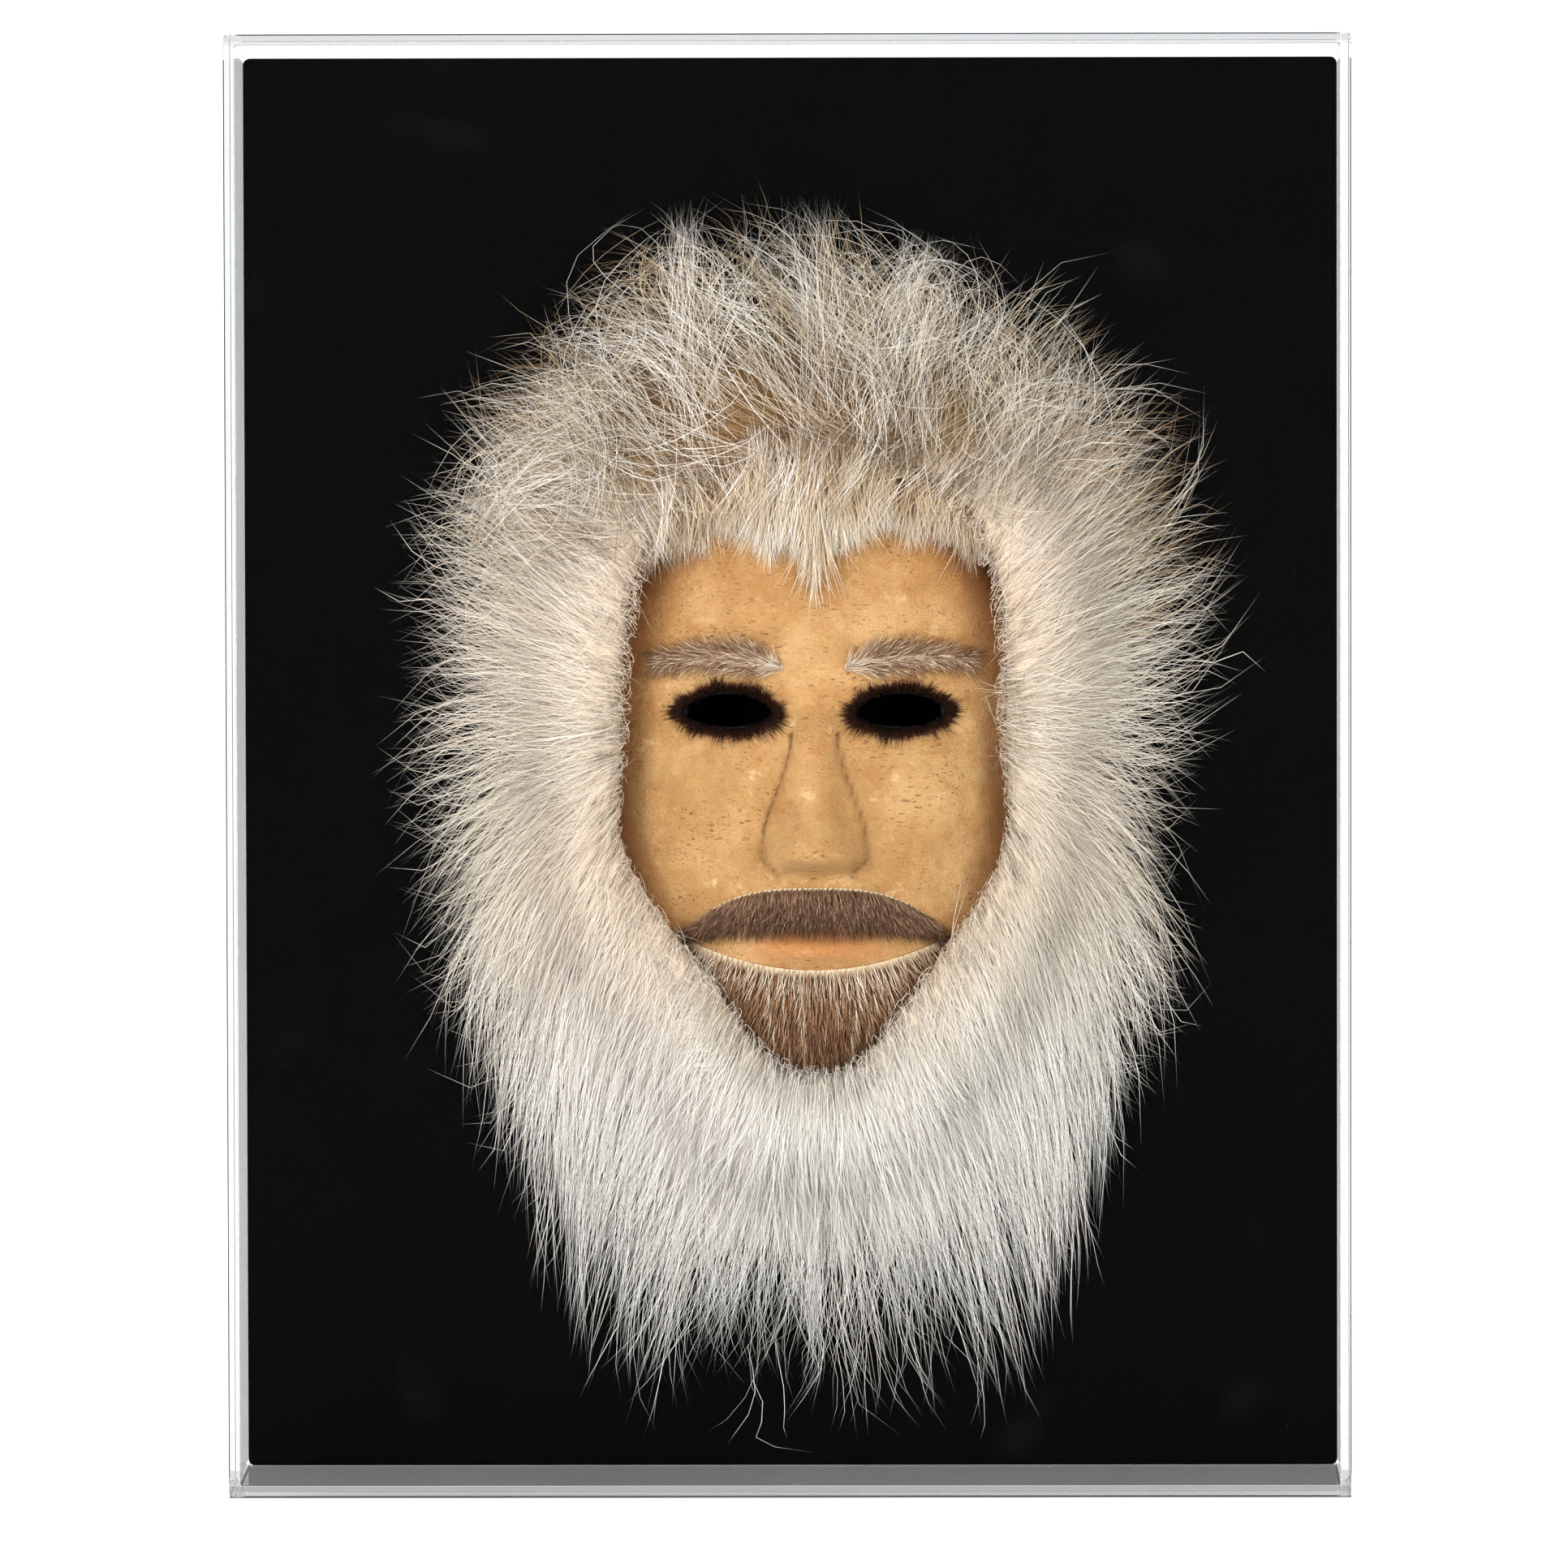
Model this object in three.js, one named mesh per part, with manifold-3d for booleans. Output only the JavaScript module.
// Hide and fur mask, fixed to a velvet board in a clear acrylic display case.
// Millimetres. +Z is up, the mask looks along -Y, and left and right are the viewer's.
// The origin is the middle of the case's underside, so the part stands on Z = 0.
import * as THREE from "three";
import { mergeVertices } from "three/addons/utils/BufferGeometryUtils.js";
import Module from "manifold-3d";

const wasm = await Module();
wasm.setup();

// Case: a five-sided clear cover, open at the back.
const caseWidth = 362;
const caseHeight = 471.4;
const caseDepth = 76;
const caseWall = 3.4;
const caseCorner = 2.6;
const caseEdge = 0.5;

// Board: a nominal 14 by 18 inches, covered in black velvet. It closes the open back and
// rests on the floor of the case.
const boardWidth = 354.4;
const boardHeight = 458.2;
const boardThickness = 8;
const boardCorner = 3;
const boardEdge = 1.2;

// Neighbouring pieces stand this far apart.
const gap = 0.35;

// Face: where its middle sits, its oval, and the height of its dome off the board.
const faceX = 8;
const faceZ = 230.5;
const faceHalfWidth = 70;
const faceUp = 112;
const faceDown = 106;
const faceDome = 42;
const hideThickness = 2.4;
const hideAcross = 26;
const hideRows = 34;
const liningAcross = 12;
const liningRows = 16;

// Hairline, brow, base of the nose and chin are one third of the face apart.
const faceThird = 64;
const browLine = 35;
const noseBase = browLine - faceThird;
const chinLine = noseBase - faceThird;
const mouthLine = noseBase - faceThird / 3;
const noseTip = noseBase + 5;
const noseLift = 12.5;

// The face is five eyes wide, with one eye's width between the two.
const eyeWidth = (2 * faceHalfWidth) / 5;
const eyeHeight = 12;
const eyeX = eyeWidth;
const eyeZ = browLine - 14;
const rimWidth = 6;
const rimHeight = 2.4;

// Ruff: its opening round the face, and the height of its pile off the board.
const openHalfWidth = 62;
const openUp = 103;
const openDown = 100;
const ruffX = 7;
const ruffZ = 229.5;
const ruffCrest = 45;
const ruffEdge = 1.4;
const lockCount = 48;
const lockSteps = 3;
// Reach of the pile from its middle every 30 degrees, clockwise from the top.
const ruffReach = [185, 170, 150, 120, 136, 171, 188, 170, 142, 128, 144, 174];
// How far the longest lock tips pass that reach, at the sides and under the chin.
const tipSide = 13;
const tipBottom = 40;
// How far the locks lean from the top towards the chin on their way out, in radians.
const lockLean = 0.22;

const boardMiddleZ = caseWall + gap + boardHeight / 2;
const boardBackY = caseDepth / 2;
const boardFrontY = boardBackY - boardThickness;
const restY = boardFrontY - gap;

const clamp = (v, low, high) => Math.min(high, Math.max(low, v));
const smooth = (v) => v * v * (3 - 2 * v);
const mix = (a, b, t) => a + (b - a) * t;

// A repeatable number from 0 to 1 for item n.
const scatter = (n) => {
  const wave = Math.sin(n * 12.9898 + 4.1414) * 43758.5453;
  return wave - Math.floor(wave);
};

function solidOf(geometry) {
  const bare = geometry.clone();
  bare.deleteAttribute("normal");
  bare.deleteAttribute("uv");
  const merged = mergeVertices(bare, 1e-3);
  const mesh = new wasm.Mesh({
    numProp: 3,
    vertProperties: merged.attributes.position.array,
    triVerts: new Uint32Array(merged.index.array),
  });
  return new wasm.Manifold(mesh);
}

function geometryOf(solid) {
  const mesh = solid.getMesh();
  const geometry = new THREE.BufferGeometry();
  geometry.setAttribute("position", new THREE.BufferAttribute(new Float32Array(mesh.vertProperties), 3));
  geometry.setIndex(new THREE.BufferAttribute(new Uint32Array(mesh.triVerts), 1));
  const faceted = geometry.toNonIndexed();
  faceted.computeVertexNormals();
  return faceted;
}

function indexed(positions, faces) {
  const geometry = new THREE.BufferGeometry();
  geometry.setAttribute("position", new THREE.Float32BufferAttribute(positions, 3));
  geometry.setIndex(faces);
  return solidOf(geometry);
}

// A closed slab between two grids of points: front(a, b) towards the viewer and back(a, b)
// behind it, with a running from left to right and b upwards, both from 0 to 1.
function slab(across, up, front, back) {
  const positions = [];
  const faces = [];
  const row = across + 1;
  const layer = row * (up + 1);
  for (const surface of [front, back]) {
    for (let j = 0; j <= up; j++) {
      for (let i = 0; i <= across; i++) positions.push(...surface(i / across, j / up));
    }
  }
  const quad = (p, q, r, s) => faces.push(p, q, r, p, r, s);
  for (let j = 0; j < up; j++) {
    for (let i = 0; i < across; i++) {
      const p = j * row + i;
      quad(p, p + 1, p + 1 + row, p + row);
      quad(layer + p, layer + p + row, layer + p + 1 + row, layer + p + 1);
    }
  }
  for (let i = 0; i < across; i++) {
    const top = up * row + i;
    quad(i, layer + i, layer + i + 1, i + 1);
    quad(top, top + 1, layer + top + 1, layer + top);
  }
  for (let j = 0; j < up; j++) {
    const left = j * row;
    const right = left + across;
    quad(left, left + row, layer + left + row, layer + left);
    quad(right, layer + right, layer + right + row, right + row);
  }
  return indexed(positions, faces);
}

// A closed ring: point(i, j) for step i clockwise round the ring and corner j of its
// section, counted from the inner back corner forwards, out and back.
function ring(around, corners, point) {
  const positions = [];
  const faces = [];
  for (let i = 0; i < around; i++) {
    for (let j = 0; j < corners; j++) positions.push(...point(i, j));
  }
  for (let i = 0; i < around; i++) {
    for (let j = 0; j < corners; j++) {
      const p = i * corners + j;
      const q = i * corners + ((j + 1) % corners);
      const turn = ((i + 1) % around) * corners;
      faces.push(p, turn + j, turn + (q % corners), p, turn + (q % corners), q);
    }
  }
  return indexed(positions, faces);
}

// A plate in the X-Z plane between y = front and y = back, about a middle height, with
// rounded corners and its front and back edges eased.
function plate(width, height, middleZ, corner, edge, front, back) {
  const x = width / 2 - edge;
  const z = height / 2 - edge;
  const round = Math.max(corner - edge, 0.2);
  const shape = new THREE.Shape();
  shape.moveTo(-x + round, -z);
  shape.lineTo(x - round, -z);
  shape.absarc(x - round, -z + round, round, -Math.PI / 2, 0, false);
  shape.lineTo(x, z - round);
  shape.absarc(x - round, z - round, round, 0, Math.PI / 2, false);
  shape.lineTo(-x + round, z);
  shape.absarc(-x + round, z - round, round, Math.PI / 2, Math.PI, false);
  shape.lineTo(-x, -z + round);
  shape.absarc(-x + round, -z + round, round, Math.PI, 1.5 * Math.PI, false);
  const geometry = new THREE.ExtrudeGeometry(shape, {
    depth: back - front - 2 * edge,
    bevelEnabled: true,
    bevelSize: edge,
    bevelThickness: edge,
    bevelSegments: 1,
    curveSegments: 2,
  });
  geometry.rotateX(Math.PI / 2);
  geometry.translate(0, back - edge, middleZ);
  return solidOf(geometry);
}

// How full the face's oval is against an ellipse at height v, from -1 under the chin to 1.
const ovalShape = (v) => (v > 0 ? 1 + 0.06 * v * v : 1 - 0.12 * v * v);

const bump = (x, z, middleX, middleZ, spreadX, spreadZ, height) =>
  height * Math.exp(-(((x - middleX) / spreadX) ** 2) - ((z - middleZ) / spreadZ) ** 2);

// The nose rises from between the eyes to its tip and falls away under it.
function noseHeight(x, z) {
  const top = browLine - 6;
  const down = clamp((top - z) / (top - noseTip), 0, 1);
  const under = 1 - smooth(clamp((noseTip - z) / 9, 0, 1));
  const halfWidth = 6 + 5.5 * down;
  const ridge = (2.5 + noseLift * down) * smooth(clamp(down * 4, 0, 1));
  return ridge * under * Math.exp(-((Math.abs(x) / halfWidth) ** 2.3));
}

// Everything that stands proud of the dome or sinks into it, at a point of the face.
function faceFeatures(x, z) {
  const side = Math.abs(x);
  const mouthFade = 1 - smooth(clamp((side - 18) / 8, 0, 1));
  const mouthCut = Math.exp(-(((z - mouthLine) / 2.2) ** 2));
  return (
    bump(side, z, 27, browLine + 1, 21, 7, 3.4) +
    bump(x, z, 0, browLine - 1, 11, 9, 2) +
    bump(side, z, eyeX, eyeZ, 20, 11, -6.5) +
    bump(side, z, eyeX, eyeZ, 14, 7.5, 3.4) +
    bump(side, z, 42, noseBase + 24, 17, 15, 3.6) +
    bump(side, z, 41, mouthLine + 6, 13, 20, -2.4) +
    noseHeight(x, z) +
    bump(side, z, 11.5, noseBase + 4, 5, 6, 4.6) +
    bump(x, z, 0, mouthLine + 2, 27, 20, 4.4) +
    bump(x, z, 0, mouthLine + 5.5, 20, 4, 2) +
    bump(x, z, 0, mouthLine - 6, 17, 4.6, 3.6) -
    2.6 * mouthFade * mouthCut +
    bump(x, z, 0, mouthLine - 15, 17, 4.5, -2.2) +
    bump(x, z, 0, chinLine + 10, 18, 12, 7.5)
  );
}

// Height of the hide off the board at a point x, z of the face, from its middle. The dome
// falls off sooner to the sides than up and down.
function faceHeight(x, z) {
  const v = clamp(z / (z > 0 ? faceUp : faceDown), -1, 1);
  const u = x / (faceHalfWidth * ovalShape(v));
  const square = clamp(u * u + v * v, 1e-9, 1);
  const power = 0.5 - (0.17 * v * v) / square;
  return faceDome * (1 - square) ** power + faceFeatures(x, z) * (1 - square ** 4);
}

const hideY = (x, z) => restY - faceHeight(x, z);

// Place in the oval, u and v from -1 to 1, for a and b from 0 to 1: a square bent onto a
// disc, with its rows closing up a little towards the steep rim.
function ovalPlace(a, b) {
  const p = 2 * a - 1;
  const q = 2 * b - 1;
  const u = p * Math.sqrt(1 - (q * q) / 2);
  const v = q * Math.sqrt(1 - (p * p) / 2);
  const spread = 1.12 - 0.12 * (u * u + v * v);
  return [u * spread, v * spread];
}

// A point of the hide, its oval widened by grow and its surface brought forward by lift,
// with its features kept to the given share.
function facePoint(a, b, grow, lift) {
  const [u, v] = ovalPlace(a, b);
  const x = faceHalfWidth * u * ovalShape(v);
  const z = (v > 0 ? faceUp : faceDown) * v;
  const widen = 1 + grow / faceHalfWidth;
  const tall = 1 + grow / faceUp;
  const rim = Math.hypot(u, v) > 0.9999;
  return [faceX + x * widen, rim ? restY - lift : hideY(x, z) - lift, faceZ + z * tall];
}

const faceBack = (y, grow) => (a, b) => {
  const [x, , z] = facePoint(a, b, grow, 0);
  return [x, y, z];
};

// All that lies behind the hide's front, grown by the gap. Pieces that lie on the face are
// cut by it, so they follow the hide and stay clear of it.
const faceBlock = slab(
  hideAcross,
  hideRows,
  (a, b) => facePoint(a, b, gap, gap),
  faceBack(boardBackY, gap),
);

// An almond along Y through one eye; the upper lid is the fuller curve.
function almondEdge(turn, halfWidth, halfHeight) {
  const lid = Math.sin(turn);
  const fullness = lid > 0 ? 1 : 0.8;
  return [halfWidth * Math.cos(turn), halfHeight * fullness * Math.sign(lid) * Math.abs(lid) ** 1.3];
}

function almondPrism(side, halfWidth, halfHeight) {
  const steps = 20;
  const shape = new THREE.Shape();
  for (let i = 0; i < steps; i++) {
    const [x, z] = almondEdge((i / steps) * 2 * Math.PI, halfWidth, halfHeight);
    if (i === 0) shape.moveTo(x, z);
    else shape.lineTo(x, z);
  }
  const geometry = new THREE.ExtrudeGeometry(shape, { depth: caseDepth, bevelEnabled: false });
  geometry.rotateX(Math.PI / 2);
  geometry.translate(faceX + side * eyeX, boardFrontY, faceZ + eyeZ);
  return solidOf(geometry);
}

function hideFace() {
  const shell = slab(
    hideAcross,
    hideRows,
    (a, b) => facePoint(a, b, 0, 0),
    faceBack(restY, 0),
  );
  // The inside keeps only part of each feature, so the walls of the nose stay thick.
  const lining = slab(
    liningAcross,
    liningRows,
    (a, b) => {
      const [u, v] = ovalPlace(a, b);
      const x = faceHalfWidth * u * ovalShape(v);
      const z = (v > 0 ? faceUp : faceDown) * v;
      const edge = clamp(u * u + v * v, 0, 1);
      const features = faceFeatures(x, z) * (1 - edge ** 4);
      const height = Math.hypot(u, v) > 0.9999 ? 0 : faceHeight(x, z) - 0.2 * Math.max(features, 0);
      const shrink = 1 - hideThickness / faceHalfWidth;
      return [faceX + x * shrink, restY - height + hideThickness, faceZ + z * shrink];
    },
    faceBack(boardBackY, -hideThickness),
  );
  let hide = shell.subtract(lining);
  for (const side of [-1, 1]) hide = hide.subtract(almondPrism(side, eyeWidth / 2, eyeHeight / 2));
  return hide;
}

// A fuzzy rim round one eye hole: a low band with an uneven outer edge.
function eyeRim(side) {
  const steps = 20;
  const band = ring(steps, 4, (i, j) => {
    const turn = (side * -i * 2 * Math.PI) / steps;
    const ragged = rimWidth * (0.8 + 0.4 * scatter(i + 31 * (side + 2)));
    const outward = [0, 0.5, ragged, ragged][j];
    const [x, z] = almondEdge(turn, eyeWidth / 2 + outward, eyeHeight / 2 + outward);
    const lift = [-2, rimHeight, 0.9, -2][j];
    const localX = side * (eyeX + x);
    const localZ = eyeZ + z;
    return [faceX + localX, hideY(localX, localZ) - gap - lift, faceZ + localZ];
  });
  return band.subtract(faceBlock);
}

// A patch of hair on the hide: place(a, b) gives its x and z on the face, and lift(a, b)
// how far it stands off the hide.
function patch(across, up, place, lift) {
  const front = (a, b) => {
    const [x, z] = place(a, b);
    return [faceX + x, hideY(x, z) - gap - lift(a, b), faceZ + z];
  };
  const back = (a, b) => {
    const [x, z] = place(a, b);
    return [faceX + x, hideY(x, z) + 2, faceZ + z];
  };
  return slab(across, up, front, back).subtract(faceBlock);
}

// An eyebrow of short hair that sweeps outwards and thins to its outer end.
function eyebrow(side) {
  const place = (a, b) => {
    const out = side < 0 ? 1 - a : a;
    const x = 11 + 40 * out;
    const arch = 5.5 * Math.sin(Math.PI * (0.15 + 0.62 * out)) - 3.5;
    const height = 9 * (1 - 0.55 * out ** 2);
    const ragged = b > 0.5 ? 1.2 * (scatter(Math.round(out * 9)) - 0.5) : 0;
    return [side * (x + 3 * b), browLine + 2 + arch + height * (b - 0.5) + ragged];
  };
  const lift = (a, b) => 1.2 + 1.6 * Math.sin(Math.PI * b) + 0.5 * (Math.round(a * 9) % 2);
  return patch(9, 2, place, lift);
}

// The moustache: a crescent between nose and mouth, cut straight along its upper edge and
// ending in uneven hair over the lip.
function moustache() {
  const across = 16;
  const place = (a, b) => {
    const s = 2 * a - 1;
    const x = 33 * s;
    const ragged = 1.3 * (scatter(Math.round(a * across) + 80) - 0.5) * (1 - b);
    const low = mouthLine + 3.2 - 7 * Math.abs(s) ** 2.4 + ragged;
    const high = mouthLine + 15 - 17 * Math.abs(s) ** 1.9;
    return [x, mix(low, Math.max(high, low + 2.5), b)];
  };
  const lift = (a, b) => 1.4 + 1.8 * Math.sin(Math.PI * mix(0.15, 0.9, b)) + 0.7 * (Math.round(a * across) % 2);
  return patch(across, 3, place, lift);
}

// The opening of the ruff at turn t, clockwise from the top, shrunk by inset.
function openingEdge(turn, inset) {
  const v = Math.cos(turn);
  const x = (openHalfWidth - inset) * Math.sin(turn) * ovalShape(v);
  return [x, ((v > 0 ? openUp : openDown) - inset) * v];
}

// Everything within the opening, less a gap: hair that meets the ruff is kept inside it.
function openingPrism() {
  const steps = 64;
  const shape = new THREE.Shape();
  for (let i = 0; i < steps; i++) {
    const [x, z] = openingEdge((-i * 2 * Math.PI) / steps, 2 * gap);
    if (i === 0) shape.moveTo(x, z);
    else shape.lineTo(x, z);
  }
  const geometry = new THREE.ExtrudeGeometry(shape, { depth: caseDepth, bevelEnabled: false });
  geometry.rotateX(Math.PI / 2);
  geometry.translate(faceX, boardFrontY, faceZ);
  return solidOf(geometry);
}

// The beard: a wedge from under the lower lip to the ruff, fuller towards the chin.
function beard() {
  const across = 12;
  const place = (a, b) => {
    const s = 2 * a - 1;
    const high = mouthLine - 12.5 + 7 * Math.abs(s) ** 2.2;
    const low = -openDown - 4;
    const x = mix(18, 30, b ** 0.8) * s;
    return [x, mix(low, high, b)];
  };
  const lift = (a, b) => {
    const ridge = Math.round(a * across) % 2;
    return mix(6.5, 1.6, b) + 1.1 * ridge * (1 - 0.5 * b);
  };
  return patch(across, 4, place, lift).intersect(openingPrism());
}

// One of the three forelocks on the brow: it hangs from under the ruff between x = left and
// x = right and ends in stepped tips at the heights given.
function forelock(left, right, tips, bulk) {
  const stride = 3;
  const across = (tips.length - 1) * stride;
  const tipAt = (a) => {
    const along = a * (tips.length - 1);
    const i = Math.min(Math.floor(along), tips.length - 2);
    const notch = 4.5 * Math.sin(Math.PI * (along - i)) * (along - i < 0.5 ? 1 : 0.6);
    return mix(tips[i], tips[i + 1], along - i) + notch;
  };
  const place = (a, b) => {
    const x = mix(left, right, a);
    return [x, mix(tipAt(a), openUp + 3, b)];
  };
  const lift = (a, b) => {
    const ridge = Math.round(a * across) % stride === 0 ? 1 : 0;
    return mix(1.6, bulk, b) + 1.2 * ridge;
  };
  return patch(across, 4, place, lift).intersect(openingPrism());
}

// The pile's reach at a turn, from the values every 30 degrees, through a smooth curve.
function reachAt(turn) {
  const count = ruffReach.length;
  const along = (((turn / (2 * Math.PI)) % 1) + 1) * count;
  const i = Math.floor(along);
  const t = along - i;
  const [p, q, r, s] = [-1, 0, 1, 2].map((k) => ruffReach[(i + k + count) % count]);
  return q + 0.5 * t * (r - p + t * (2 * p - 5 * q + 4 * r - s + t * (3 * (q - r) + s - p)));
}

// The fur ruff: a ring of locks that stands up round the face and falls away to the board.
// Each lock is ridged down its middle and drawn out to a tip that leans its own way, and
// the locks of the inner tier lie over the joints of the outer one.
function furRuff() {
  const rows = [0, 0, 0.1, 0.26, 0.42, 0.56, 0.78, 1, 1];
  const around = lockCount * lockSteps;
  const solid = ring(around, rows.length, (i, j) => {
    const t = rows[j];
    const lock = Math.floor(i / lockSteps + 0.5) % lockCount;
    const phase = i / lockSteps - Math.floor(i / lockSteps + 0.5);
    const turn = (i / around) * 2 * Math.PI;
    const [innerX, innerZ] = openingEdge(turn, 0);
    const lowness = smooth(clamp((0.2 - Math.cos(turn)) / 1.2, 0, 1));
    const point = Math.max(0, 1 - 2.6 * Math.abs(phase));
    const tip = mix(tipSide, tipBottom, lowness ** 2) * mix(0.35, 1, scatter(lock));
    const lean = lockLean * Math.sin(turn) + 0.07 * (scatter(lock + 60) - 0.5) * point;
    const outTurn = turn + lean;
    const reach = reachAt(outTurn) * mix(0.94, 0.97, scatter(lock + 120)) + tip * point * t ** 3;
    const x = mix(faceX + innerX, ruffX + reach * Math.sin(outTurn), t);
    const z = mix(faceZ + innerZ, ruffZ + reach * Math.cos(outTurn), t);
    const pile = ruffCrest * (0.74 + 0.26 * Math.sin(Math.PI * clamp(t * 2 + 0.12, 0, 1)));
    const fall = (1 - smooth(clamp((t - 0.15) / 0.85, 0, 1))) ** 0.8;
    const inner = t < 0.45;
    const tier = inner ? -0.8 * Math.sin(Math.PI * t / 0.45) : Math.sin(Math.PI * clamp(1.25 - t, 0, 1)) + 0.3;
    const ridge = 3.6 * tier * Math.cos(2 * Math.PI * phase) * mix(0.6, 1.3, scatter(lock + 260));
    const bulk = mix(0.95, 1.04, scatter(inner ? Math.floor(i / lockSteps) + 200 : lock + 300));
    const height = Math.max(ruffEdge, pile * fall * bulk + ridge + ruffEdge);
    const back = j === 0 || j === rows.length - 1;
    return [x, back ? restY : restY - (t === 1 ? ruffEdge : height), z];
  });
  return solid.subtract(faceBlock);
}

const halfDepth = caseDepth / 2;
const halfHeight = caseHeight / 2;
const insideWidth = caseWidth - 2 * caseWall;
const insideHeight = caseHeight - 2 * caseWall;
const block = plate(caseWidth, caseHeight, halfHeight, caseCorner, caseEdge, -halfDepth, halfDepth);
const hollow = plate(insideWidth, insideHeight, halfHeight, 0.8, 0.2, caseWall - halfDepth, caseDepth);
const acrylicCover = block.subtract(hollow);

const velvetBoard = plate(
  boardWidth,
  boardHeight,
  boardMiddleZ,
  boardCorner,
  boardEdge,
  boardFrontY,
  boardBackY,
);

const finish = (color, roughness, extra = {}) =>
  new THREE.MeshStandardMaterial({ color, roughness, metalness: 0, ...extra });

const clearAcrylic = finish(0xeef2f3, 0.05, { transparent: true, opacity: 0.2 });
const blackVelvet = finish(0x0b0b0c, 1);
const tannedHide = finish(0xd09a55, 0.6);
const darkHair = finish(0x33241c, 0.95);
const taupeHair = finish(0x97806c, 0.95);
const creamHair = finish(0xe4d8c6, 0.95);
const tanHair = finish(0xc9a980, 0.95);
const ruffFur = finish(0xd3c7b8, 0.95);

const pieces = [
  ["acrylic_cover", acrylicCover, clearAcrylic],
  ["velvet_board", velvetBoard, blackVelvet],
  ["hide_face", hideFace(), tannedHide],
  ["eye_rim_left", eyeRim(-1), darkHair],
  ["eye_rim_right", eyeRim(1), darkHair],
  ["eyebrow_left", eyebrow(-1), taupeHair],
  ["eyebrow_right", eyebrow(1), taupeHair],
  ["moustache", moustache(), taupeHair],
  ["beard", beard(), taupeHair],
  ["forelock_left", forelock(-60, -19.4, [64, 66, 70, 67, 71], 12), tanHair],
  ["forelock_middle", forelock(-19, 15, [72, 66, 57, 64, 72], 14), creamHair],
  ["forelock_right", forelock(15.4, 60, [74, 76, 73, 68, 69], 12), tanHair],
  ["fur_ruff", furRuff(), ruffFur],
];

const part = new THREE.Group();
part.name = "hide_mask_in_case";
for (const [name, solid, material] of pieces) {
  const mesh = new THREE.Mesh(geometryOf(solid), material);
  mesh.name = name;
  part.add(mesh);
}

export default part;
